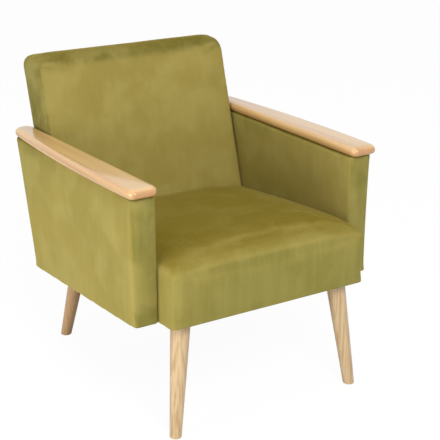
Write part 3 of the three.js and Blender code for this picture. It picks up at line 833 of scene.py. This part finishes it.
def filled_form(node, name):
    """The outer form of a CAD cover as one closed body."""
    form = copied(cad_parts[node], name)
    form.data.materials.clear()
    edit_all(form)
    bpy.ops.mesh.remove_doubles(threshold=1e-5)
    bpy.ops.mesh.convex_hull()
    done()
    return form


def lengthened(form, reach=0.015, near=0.002):
    """Draws what is near the seat unit's underside down below it, to be cut off later."""
    for vertex in form.data.vertices:
        local = SEAT_UNIT.inverted() @ vertex.co
        if local.z < near:
            local.z -= reach
            vertex.co = SEAT_UNIT @ local


def remeshed(form, size):
    """Gives a form even faces of a size, kept on its first surface."""
    pattern = copied(form, form.name + "_pattern")
    take_up(form)
    form.data.remesh_voxel_size = size
    bpy.ops.object.voxel_remesh()
    finish_with(form, "SHRINKWRAP", target=pattern, wrap_method="NEAREST_SURFACEPOINT")
    bpy.data.objects.remove(pattern)


def puffed(form, held, slack, limit):
    """Fills a cover with air: free points start slack inside, swell up to a limit and sink
    hardly at all."""
    mesh = form.data
    weights = [held(vertex.co) for vertex in mesh.vertices]
    inwards = [-vertex.normal * slack for vertex in mesh.vertices]
    for vertex, weight, move in zip(mesh.vertices, weights, inwards):
        vertex.co += move * (1 - weight)
    group = form.vertex_groups.new(name="held")
    for vertex, weight in zip(mesh.vertices, weights):
        group.add([vertex.index], weight, "REPLACE")
    start = [vertex.co.copy() for vertex in mesh.vertices]
    skin = BVHTree.FromPolygons(start, [face.vertices[:] for face in mesh.polygons])
    take_up(form)
    modifier = form.modifiers.new("Filling", "CLOTH")
    cloth = modifier.settings
    cloth.quality = 3
    cloth.use_pressure = True
    cloth.uniform_pressure_force = AIR_PRESSURE
    cloth.vertex_group_mass = "held"
    cloth.effector_weights.gravity = 0
    modifier.point_cache.frame_end = FILLING_FRAMES
    scene = bpy.context.scene
    for number in range(1, FILLING_FRAMES + 1):
        scene.frame_set(number)
    bpy.ops.object.modifier_apply(modifier=modifier.name)
    scene.frame_set(1)
    for vertex, first in zip(form.data.vertices, start):
        move = vertex.co - first
        if move.length > limit:
            move = move.normalized() * limit
        place = first + move
        nearest, outward, *_ = skin.find_nearest(place)
        sunk = (place - nearest).dot(outward)
        vertex.co = place - outward * min(sunk + MAY_SINK, 0)
    form.vertex_groups.clear()


def softened(form, strength, size):
    """Adds the slight unevenness of stuffing under cloth."""
    texture = bpy.data.textures.new(form.name + " stuffing", "CLOUDS")
    texture.noise_scale = size
    texture.noise_depth = 1
    finish_with(form, "DISPLACE", texture=texture, texture_coords="LOCAL", strength=strength)


def hemmed(form):
    """Cuts a cover off along the seat unit's underside."""
    cut_off(form, SEAT_UNIT @ Vector((0, 0, HEM)), SEAT_DOWN)


def hollow_cover(form):
    """Turns an open form into a cover with its thickness, and rounds it off."""
    sizes = bpy.context.scene.armchair_sizes
    finish_with(
        form, "SOLIDIFY", thickness=sizes.cover_thickness, offset=-1, use_even_offset=False
    )
    finish_with(form, "SUBSURF", levels=1, render_levels=1)
    take_up(form)
    bpy.ops.object.shade_smooth()


class ARMCHAIR_OT_seat_cover(bpy.types.Operator):
    """Makes the crowned seat cover that stands out in front of the arms"""

    bl_idname = "armchair.seat_cover"
    bl_label = "Seat Cover"

    def execute(self, context):
        sizes = context.scene.armchair_sizes
        cover = filled_form("seat_cover", "velvet_seat")
        lengthened(cover)
        remeshed(cover, sizes.cover_mesh)
        into_seat = SEAT_UNIT.inverted()

        def held(point):
            """How firmly a point is held, by the arms, by the back or near the hem."""
            local = into_seat @ point
            half = arm_inner(local.y) - ARM_GAP
            by_arm = eased((abs(local.x) - half + 0.012) / 0.008) * eased((local.y + 0.02) / 0.02)
            by_back = eased((local.y - 0.455) / 0.01)
            low = eased((0.02 - local.z) / 0.012)
            return max(by_arm, by_back, low)

        puffed(cover, held, slack=SLACK, limit=sizes.seat_swell)
        finish_with(cover, "SMOOTH", factor=0.5, iterations=4)
        softened(cover, 0.0012, 0.09)
        self.kept_between_arms(cover, into_seat)
        hemmed(cover)
        hollow_cover(cover)
        # The seat's painted shade is lifted over its rolled edges, a painted sheen.
        finish = velvet("Seat Velvet", (1, 0, 0), Patches=0.2, Rolled=1)
        belongs(cover, "seat_cover", finish)
        return {"FINISHED"}

    def kept_between_arms(self, cover, into_seat):
        """Keeps a cover between the arms, and a little wider in front of them."""
        front, nose, wider = -0.005, 0.057, 0.003
        for vertex in cover.data.vertices:
            local = into_seat @ vertex.co
            half = arm_inner(max(local.y, front)) - ARM_GAP
            room = half + wider * eased((front - local.y) / nose)
            local.x = min(max(local.x, -room), room)
            vertex.co = SEAT_UNIT @ local


class ARMCHAIR_OT_back_cover(bpy.types.Operator):
    """Makes the raked back cover with its broad rounded top"""

    bl_idname = "armchair.back_cover"
    bl_label = "Back Cover"

    def execute(self, context):
        sizes = context.scene.armchair_sizes
        cover = filled_form("back_cover", "velvet_back")
        remeshed(cover, sizes.cover_mesh)
        into_back = BACK_UNIT.inverted()

        def held(point):
            """How firmly a point is held, at the sides, low down or towards the rear."""
            local = into_back @ point
            side = eased((abs(local.x) - 0.253) / 0.006)
            low = eased((0.012 - local.z) / 0.02)
            rear = eased((local.y - 0.05) / 0.02)
            return max(side, low, rear)

        puffed(cover, held, slack=SLACK, limit=sizes.back_swell)
        softened(cover, 0.0012, 0.1)
        rear = BACK_UNIT.to_3x3() @ Vector((0, 1, math.tan(BACK_TAPER)))
        cut_off(cover, BACK_UNIT @ Vector((0, 0.0862, 0.4215)), rear)
        cut_off(cover, SEAT_UNIT @ Vector((0, 0.5, 0.0812)), SEAT_DOWN)
        hollow_cover(cover)
        # The panel is read as steeper than it is and facing a little to the right, so that
        # painted shade darkens its top and its left edge.
        steeper, aside = 0.2, 0.27
        tilt = SEAT_PITCH + BACK_RAKE - steeper
        panel = Vector((aside, -math.cos(tilt), math.sin(tilt))).normalized()
        belongs(cover, "back_cover", velvet("Back Velvet", panel, edge=0.62, Drift=0.12))
        return {"FINISHED"}


class ARMCHAIR_OT_arm_covers(bpy.types.Operator):
    """Makes the two flat arm covers"""

    bl_idname = "armchair.arm_covers"
    bl_label = "Arm Covers"

    def execute(self, context):
        sizes = context.scene.armchair_sizes
        right = filled_form("right_arm_cover", "velvet_right_arm")
        lengthened(right)
        remeshed(right, sizes.arm_mesh)

        def held(point):
            """How firmly a point is held, on the inner face, under the cap or near the hem."""
            y = point.y - ARM_FRONT
            inner = eased((arm_inner(y) + 0.006 - point.x) / 0.004)
            top = eased((point.z - arm_top(y) + 0.012) / 0.01)
            low = eased((arm_bottom(y) + 0.014 - point.z) / 0.01)
            return max(inner, top, low)

        puffed(right, held, slack=SLACK / 2, limit=sizes.arm_swell)
        softened(right, 0.0008, 0.1)
        for vertex in right.data.vertices:
            vertex.co.x = max(vertex.co.x, arm_inner(vertex.co.y - ARM_FRONT))
        hemmed(right)
        hollow_cover(right)
        left = mirrored(right, "velvet_left_arm")
        # Painted shade on the arms' fronts, and a painted shadow darkening their outer faces
        # towards the top rear, under the caps.
        finish = velvet("Arm Velvet", (1, 0, 0), edge=0.88, Drift=0.25, Fade=(0, 0.5, 0.87))
        belongs(right, "right_arm_cover", finish)
        belongs(left, "left_arm_cover", finish)
        return {"FINISHED"}


class ARMCHAIR_OT_outside_back(bpy.types.Operator):
    """Makes the flat upholstered panel that closes the back"""

    bl_idname = "armchair.outside_back"
    bl_label = "Outside Back"

    def execute(self, context):
        panel = filled_form("back_panel", "velvet_outside_back")
        finish_with(panel, "BEVEL", width=0.0015, segments=3, limit_method="ANGLE")
        shaded(panel)
        finish = velvet("Outside Velvet", (0, 1, 0), Patches=0.3)
        belongs(panel, "back_panel", finish)
        return {"FINISHED"}


# Wood


def end_points(piece, edge):
    """The two end points of an edge."""
    return [piece.data.vertices[i].co for i in edge.vertices]


def runs_lengthwise(piece, edge):
    """Whether an edge runs from front to rear."""
    first, last = end_points(piece, edge)
    return abs(first.x - last.x) < 1e-6 and abs(first.z - last.z) < 1e-6


def stands_at(piece, edge, y):
    """Whether an edge stands upright at a distance behind the arms' fronts."""
    first, last = end_points(piece, edge)
    upright = abs(first.z - last.z) > 1e-4
    return upright and abs(first.y - y) < 1e-5 and abs(last.y - y) < 1e-5


def lies_on_floor(piece, edge):
    """Whether an edge lies on the floor."""
    return all(point.z < 1e-5 for point in end_points(piece, edge))


def rims(piece, edge, height):
    """Whether an edge lies on the outline of the top or of the underside."""
    if any(abs(point.z - height) > 1e-5 for point in end_points(piece, edge)):
        return False
    pair = set(edge.vertices)
    normals = [face.normal for face in piece.data.polygons if pair <= set(face.vertices)]
    return len(normals) == 2 and normals[0].dot(normals[1]) < 0.5


class ARMCHAIR_OT_arm_caps(bpy.types.Operator):
    """Makes the bowed, bullnosed wooden caps on the arms"""

    bl_idname = "armchair.arm_caps"
    bl_label = "Arm Caps"

    def execute(self, context):
        sizes = context.scene.armchair_sizes
        nose, rear, thickness = -0.014, 0.642, sizes.cap_thickness
        deselect()
        bpy.ops.mesh.primitive_cube_add(size=1, location=(0.5, 0.5, 0.5))
        cap = named("right_cap")
        settle(cap)
        edit_some(cap, "EDGE", lambda edge: runs_lengthwise(cap, edge))
        bpy.ops.mesh.subdivide(number_cuts=15)
        done()
        for vertex in cap.data.vertices:
            vertex.co = self.bowed(vertex.co, nose, rear, thickness)
        for end, radius in ((nose, 0.014), (rear, 0.023)):
            rounded(cap, lambda edge: stands_at(cap, edge, end), radius, segments=10)
        for height, radius in ((thickness, sizes.cap_top_round), (0, sizes.cap_low_round)):
            rounded(cap, lambda edge: rims(cap, edge, height), radius, segments=8)
        self.draw_nose(cap, nose, sizes.cap_top_round)
        settle(cap, CAP_UNIT)
        for y in (0.110, 0.480):  # the cap's two screws
            top = arm_top(y)
            middle = (arm_inner(y) + arm_outer(y, top)) / 2
            place = (middle, y + ARM_FRONT, top)
            bored(cap, place, (0, 0, 1), radius=0.0025, start=-0.02, end=0.0143)
        shaded(cap, 32)
        left = mirrored(cap, "left_cap")
        shaded(left, 32)
        belongs(cap, "right_arm_cap", cap_wood())
        belongs(left, "left_arm_cap", cap_wood())
        return {"FINISHED"}

    def bowed(self, share, nose, rear, thickness):
        """The place on the bowed cap of a point of the unit cube."""
        inner_lip, outer_lip, fullest = 0.0015, 0.006, 0.011
        y = mixed(nose, rear, share.y)
        forward = 1 - y / ARM_DEPTH
        bow = fullest * (1 - (2 * share.y - 1) ** 2)
        inner = arm_inner(y) - inner_lip * forward
        outer = arm_outer(y, arm_top(y)) + outer_lip * forward + bow
        return Vector((mixed(inner, outer, share.x), y, share.z * thickness))

    def draw_nose(self, cap, nose, depth):
        """Draws the nose's rounding out, so that it slopes in more softly from the top."""
        for vertex in cap.data.vertices:
            beyond = vertex.co.y - nose
            vertex.co.y += 0.6 * min(beyond, depth) * (1 - eased((beyond - depth) / 0.05))


class ARMCHAIR_OT_legs(bpy.types.Operator):
    """Makes the four splayed tapered legs"""

    bl_idname = "armchair.legs"
    bl_label = "Legs"

    def execute(self, context):
        feet_and_tops = {
            "front": ((0.241, -0.043), (0.209, -0.015)),
            "rear": ((0.238, 0.560), (0.207, 0.519)),
        }
        for end, (foot, top) in feet_and_tops.items():
            right = self.turned(f"{end}_right_turned_leg", foot, top)
            shaded(right, 35)
            left = mirrored(right, f"{end}_left_turned_leg")
            shaded(left, 35)
            belongs(right, f"{end}_right_leg", leg_wood(end))
            belongs(left, f"{end}_left_leg", leg_wood(end))
        return {"FINISHED"}

    def turned(self, name, foot, top):
        """One leg from the floor to the underside."""
        sizes = bpy.context.scene.armchair_sizes
        lift = 0.0014 / math.cos(SEAT_PITCH)
        low = Vector((foot[0], foot[1] + ARM_FRONT, 0))
        high = Vector((top[0], top[1] + ARM_FRONT, arm_bottom(top[1]) + lift))
        axis = (high - low).normalized()
        height = (high - low).length
        spare = 0.03
        widen = math.tan(sizes.leg_taper)
        deselect()
        bpy.ops.mesh.primitive_cone_add(
            vertices=64,
            radius1=sizes.foot_radius - widen * spare,
            radius2=sizes.foot_radius + widen * (height + spare),
            depth=height + 2 * spare,
            location=(low + high) / 2,
            rotation=axis.to_track_quat("Z", "Y").to_euler(),
        )
        leg = named(name)
        settle(leg)
        cut_off(leg, (0, 0, 0), (0, 0, -1), closed=True)
        cut_off(leg, high, -SEAT_DOWN, closed=True)
        rounded(leg, lambda edge: lies_on_floor(leg, edge), sizes.foot_round, segments=5)
        bored(leg, high, axis, radius=0.0043, start=-0.0383, end=0.02)
        return leg


# Filling and underside


class ARMCHAIR_OT_filling(bpy.types.Operator):
    """Makes the foam, the felt and the elastic straps inside the covers"""

    bl_idname = "armchair.filling"
    bl_label = "Filling"

    def execute(self, context):
        self.foams(context.scene.armchair_colours)
        self.felt()
        self.straps()
        return {"FINISHED"}

    def foams(self, colours):
        """The foam of the seat and of the back, a little below the covers."""
        foam = dressed(
            "Upholstery Foam",
            "Foam Cells",
            {"Foam": solid(colours.foam)},
            bump=0.5,
            distance=0.001,
            Specular_IOR_Level=0.1,
        )
        for node, name in (("seat_foam", "foam_seat"), ("back_foam", "foam_back")):
            block = filled_form(node, name)
            edit_some(block, "FACE", lambda face: face.normal.z > -0.8)
            bpy.ops.transform.shrink_fatten(value=-FOAM_ROOM)
            done()
            finish_with(block, "BEVEL", width=0.0015, segments=2, limit_method="ANGLE")
            shaded(block)
            belongs(block, node, foam)

    def felt(self):
        """The felt on the springs."""
        felt = flat_grid("felt_on_springs", 24, 24)
        front, rear = -0.0442, 0.44
        for vertex in felt.data.vertices:
            y = mixed(front, rear, vertex.co.y + 0.5)
            half = arm_inner(y) - 0.0186
            vertex.co = SEAT_UNIT @ Vector((2 * half * vertex.co.x, y, 0.0825))
        finish_with(felt, "SOLIDIFY", thickness=0.0025, offset=-1)
        material = dressed(
            "Needle Felt",
            "Plain Weave",
            {"Thread": (0.26, 0.26, 0.25, 1), "Gap": (0.2, 0.2, 0.19, 1), "Threads": 180.0},
            bump=0.6,
            distance=0.001,
        )
        belongs(felt, "spring_felt", material)

    def straps(self):
        """The elastic straps across the back frame."""
        webbing = dressed(
            "Elastic Webbing",
            "Plain Weave",
            {"Thread": (0.06, 0.06, 0.065, 1), "Gap": (0.012, 0.012, 0.014, 1), "Threads": 320.0},
            bump=0.6,
            distance=0.0006,
        )
        lowest, apart, behind = 0.06, 0.105, 0.0416
        for number in range(3):
            strap = flat_grid(f"elastic_strap_{number + 1}", 40, 6)
            for vertex in strap.data.vertices:
                height = lowest + apart * number + 0.06 * (vertex.co.y + 0.5)
                vertex.co = BACK_UNIT @ Vector((0.5018 * vertex.co.x, behind, height))
            finish_with(strap, "SOLIDIFY", thickness=0.0015, offset=-1)
            belongs(strap, f"back_strap_{number + 1}", webbing)


class ARMCHAIR_OT_under_cloth(bpy.types.Operator):
    """Makes the thin cloth stapled under the seat"""

    bl_idname = "armchair.under_cloth"
    bl_label = "Under Cloth"

    def execute(self, context):
        colours = context.scene.armchair_colours
        cloth = flat_grid("cloth_under_seat", 44, 50)
        front, rear, height, dip = -0.0582, 0.543, 0.0014, 0.0015
        for vertex in cloth.data.vertices:
            across, along = vertex.co.x * 2, vertex.co.y + 0.5
            y = mixed(front, rear, along)
            half = arm_inner(y) - 0.0046 - 0.005 * (1 - along)
            sag = dip * (1 - across**4) * (1 - (2 * along - 1) ** 4)
            vertex.co = SEAT_UNIT @ Vector((half * across, y, height - sag))
        finish_with(cloth, "SOLIDIFY", thickness=0.0008, offset=-1)
        for end in ("front", "rear"):
            for side in ("left", "right"):
                low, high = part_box(f"{end}_{side}_leg_bolt")
                middle = (low + high) / 2
                bored(cloth, middle, (0, 0, 1), radius=0.027, start=-0.06, end=0.06)
        material = dressed(
            "Under Cloth",
            "Plain Weave",
            {
                "Thread": solid(colours.under_cloth),
                "Gap": (0.006, 0.006, 0.007, 1),
                "Threads": 420.0,
            },
            bump=0.4,
            distance=0.0004,
            Specular_IOR_Level=0.2,
        )
        belongs(cloth, "dust_cloth", material)
        return {"FINISHED"}


class ARMCHAIR_OT_inner_parts(bpy.types.Operator):
    """Gives the frame's timber and the metal parts their finishes"""

    bl_idname = "armchair.inner_parts"
    bl_label = "Inner Parts"

    def execute(self, context):
        steel = dressed(
            "Zinc-Plated Steel",
            "Plated Metal",
            {},
            bump=0.05,
            distance=0.0002,
            Metallic=1.0,
        )
        timber = sawn_timber()
        for name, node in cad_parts.items():
            if node.hide_render:
                continue
            steely = any(word in name for word in ("bolt", "screw", "plate", "spring"))
            node.data.materials.clear()
            node.data.materials.append(steel if steely else timber)
        return {"FINISHED"}


# Studio

WORLD_LIGHT = 0.48
FLOOR_GLOW = 0.93


class ARMCHAIR_OT_studio(bpy.types.Operator):
    """Sets up the pale floor, the soft lamps and the camera"""

    bl_idname = "armchair.studio"
    bl_label = "Studio"

    def execute(self, context):
        scene = context.scene
        scene.view_settings.view_transform = "Standard"
        self.backdrop(scene)
        self.floor()
        self.lamp("side", (-3.0, -0.5, 0.75), size=1.4, power=42)
        self.lamp("front", (-0.6, -2.6, 2.6), size=1.2, power=70)
        self.lamp("top", (0.2, 0.6, 3.2), size=2.6, power=12)
        self.camera(scene)
        return {"FINISHED"}

    def backdrop(self, scene):
        """White to the camera and in reflections, softer as light."""
        world = bpy.data.worlds.new("Studio")
        world.use_nodes = True
        scene.world = world
        tree = world.node_tree
        rays = tree.nodes.new("ShaderNodeLightPath").outputs
        seen = calculated(tree, "MAXIMUM", rays["Is Camera Ray"], rays["Is Glossy Ray"])
        strength = calculated(tree, "MULTIPLY_ADD", seen, 1 - WORLD_LIGHT, WORLD_LIGHT)
        surface = tree.nodes["Background"].inputs
        feed(tree, surface["Strength"], strength)
        feed(tree, surface["Color"], (1, 1, 1, 1))

    def floor(self):
        """A pale floor that shows white and keeps the chair's shadow."""
        deselect()
        bpy.ops.mesh.primitive_plane_add(size=14)
        floor = named("floor")
        material = bpy.data.materials.new("Pale Floor")
        material.use_nodes = True
        tree = material.node_tree
        tree.nodes.remove(tree.nodes["Principled BSDF"])
        matt = add_node(tree, "ShaderNodeBsdfDiffuse", Color=(0.86, 0.86, 0.86, 1))
        glow = add_node(tree, "ShaderNodeEmission", Color=(1, 1, 1, 1), Strength=1.02)
        rays = tree.nodes.new("ShaderNodeLightPath").outputs
        mix = tree.nodes.new("ShaderNodeMixShader")
        feed(tree, mix.inputs[0], times(tree, rays["Is Camera Ray"], FLOOR_GLOW))
        feed(tree, mix.inputs[1], matt.outputs[0])
        feed(tree, mix.inputs[2], glow.outputs[0])
        feed(tree, tree.nodes["Material Output"].inputs["Surface"], mix.outputs[0])
        floor.data.materials.append(material)

    def lamp(self, name, place, size, power):
        """A soft square lamp that looks at the chair."""
        towards = Vector((0, 0, 0.4)) - Vector(place)
        deselect()
        bpy.ops.object.light_add(
            type="AREA",
            location=place,
            rotation=towards.to_track_quat("-Z", "Y").to_euler(),
        )
        lamp = bpy.context.object
        lamp.name = name
        lamp.data.size = size
        lamp.data.energy = power

    def camera(self, scene):
        """The photograph's camera."""
        place = Vector((-1.2872, -2.2676, 1.3332))
        towards = Vector((0.0622, -0.0454, 0.3648)) - place
        deselect()
        bpy.ops.object.camera_add(
            location=place,
            rotation=towards.to_track_quat("-Z", "Y").to_euler(),
        )
        camera = bpy.context.object
        camera.data.lens = 91.998
        camera.data.shift_x = -0.0004
        camera.data.shift_y = -0.0057
        scene.camera = camera


class ARMCHAIR_PT_pieces(bpy.types.Panel):
    """Lists the armchair's pieces, sizes and colours"""

    bl_idname = "ARMCHAIR_PT_pieces"
    bl_label = "Armchair"
    bl_space_type = "VIEW_3D"
    bl_region_type = "UI"
    bl_category = "Armchair"

    def draw(self, context):
        for operator in OPERATORS:
            self.layout.operator(operator.bl_idname)
        for group in (context.scene.armchair_sizes, context.scene.armchair_colours):
            box = self.layout.box()
            for name in group.__annotations__:
                box.prop(group, name)


OPERATORS = (
    ARMCHAIR_OT_studio,
    ARMCHAIR_OT_seat_cover,
    ARMCHAIR_OT_back_cover,
    ARMCHAIR_OT_arm_covers,
    ARMCHAIR_OT_outside_back,
    ARMCHAIR_OT_arm_caps,
    ARMCHAIR_OT_legs,
    ARMCHAIR_OT_filling,
    ARMCHAIR_OT_under_cloth,
    ARMCHAIR_OT_inner_parts,
)
CLASSES = (ArmchairSizes, ArmchairColours, *OPERATORS, ARMCHAIR_PT_pieces)


def register():
    """Registers the classes and the properties."""
    for group in CLASSES:
        bpy.utils.register_class(group)
    bpy.types.Scene.armchair_sizes = bpy.props.PointerProperty(type=ArmchairSizes)
    bpy.types.Scene.armchair_colours = bpy.props.PointerProperty(type=ArmchairColours)


def unregister():
    """Takes the properties and the classes out again."""
    del bpy.types.Scene.armchair_colours
    del bpy.types.Scene.armchair_sizes
    for group in reversed(CLASSES):
        bpy.utils.unregister_class(group)


def main():
    """Makes the whole armchair."""
    register()
    bpy.ops.armchair.studio()
    bpy.ops.armchair.seat_cover()
    bpy.ops.armchair.back_cover()
    bpy.ops.armchair.arm_covers()
    bpy.ops.armchair.outside_back()
    bpy.ops.armchair.arm_caps()
    bpy.ops.armchair.legs()
    bpy.ops.armchair.filling()
    bpy.ops.armchair.under_cloth()
    bpy.ops.armchair.inner_parts()
    deselect()


if __name__ == "__main__":
    main()
